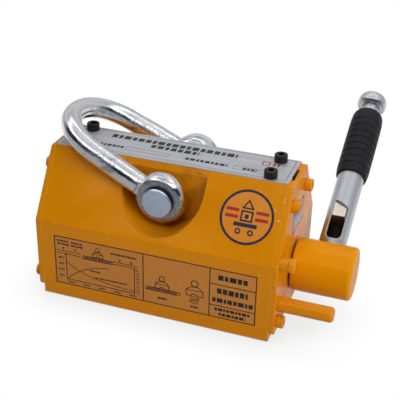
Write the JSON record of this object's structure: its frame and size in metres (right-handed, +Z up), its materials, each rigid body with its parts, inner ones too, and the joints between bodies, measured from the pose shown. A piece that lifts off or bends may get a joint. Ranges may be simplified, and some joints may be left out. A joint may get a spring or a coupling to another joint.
{
  "type": "permanent magnet lifter",
  "caption": "Lever-operated permanent magnet lifting block with sloped shoulders, a turning magnet rotor, a lockable lever with rubber grip, a stop pin and a swinging lifting shackle.",
  "frame": {"origin": "centre of the ground lifting face under the block", "axes": "+X along the rotor axis towards the lever, -Y to the front of the block, +Z up"},
  "size_m": [0.2071, 0.1811, 0.1208],
  "materials": {
    "orange_paint": "gloss enamel over steel",
    "brass": "machined",
    "machined_steel": "ground",
    "magnet": "nickel plated",
    "spacer_aluminium": "machined",
    "black_screw": "black oxide",
    "nameplate": null,
    "label_film": null,
    "bright_plate": "bright zinc plate over forged or drawn steel",
    "rubber": "matt moulded",
    "cream_plastic": "moulded"
  },
  "bodies": {
    "housing": {"pole_front": "orange_paint", "pole_rear": "orange_paint", "keel_spacer": "brass", "saddle_spacer": "brass", "pin_block": "machined_steel", "fixed_magnets": "magnet", "ridge_bar": "spacer_aluminium", "pin_lock_screw": "black_screw", "bearing_drive": "spacer_aluminium", "bush_drive": "brass", "bearing_idle": "spacer_aluminium", "bush_idle": "brass", "end_plate_drive": "orange_paint", "end_plate_idle": "orange_paint", "end_screws_drive": "orange_paint", "end_screws_idle": "orange_paint", "stop_pin": "orange_paint", "lock_post": "orange_paint", "nameplate": "nameplate", "nameplate_screws": "black_screw", "front_label": "label_film", "slope_label": "label_film", "end_label": "label_film", "hub_washer": "orange_paint", "shackle_pin": "bright_plate"},
    "lever": {"rotor_pole_a": "machined_steel", "rotor_pole_b": "machined_steel", "rotor_magnets": "magnet", "drive_shaft": "machined_steel", "idle_shaft": "machined_steel", "rotor_screws_drive": "black_screw", "rotor_screws_idle": "black_screw", "hub": "orange_paint", "hub_key": "machined_steel", "hub_set_screw": "black_screw", "handle_tube": "bright_plate", "tube_pin": "machined_steel", "spring_seat": "machined_steel", "handle_grip": "rubber"},
    "lock": {"lock_rod": "machined_steel", "lock_knob": "bright_plate", "lock_key": "cream_plastic", "lock_spring": "machined_steel"},
    "catch": {"lock_catch": "machined_steel"},
    "shackle": {"shackle_bow": "bright_plate"}
  },
  "joints": [
    {"name": "lever_turn", "type": "hinge", "parent": "housing", "child": "lever", "pos_m": [0, 0, 0.0336], "axis": [1, 0, 0], "range_deg": [0, 148.7]},
    {"name": "lock_press", "type": "slide", "parent": "lever", "child": "lock", "axis": [0, 0.8902, 0.4555], "range_m": [-0.0073, 0], "stiffness_N_per_m": 500, "springref_m": 0.004, "deforming": ["lock_spring"]},
    {"name": "catch_slide", "type": "slide", "parent": "lever", "child": "catch", "axis": [1, 0, 0], "range_m": [-0.00475, 0]},
    {"name": "shackle_swing", "type": "hinge", "parent": "housing", "child": "shackle", "pos_m": [0, 0, 0.0792], "axis": [0, 1, 0], "range_deg": [0, 124]}
  ],
  "couplings": [
    {"joint": "catch_slide", "follows": "lock_press", "ratio": 0.65}
  ]
}
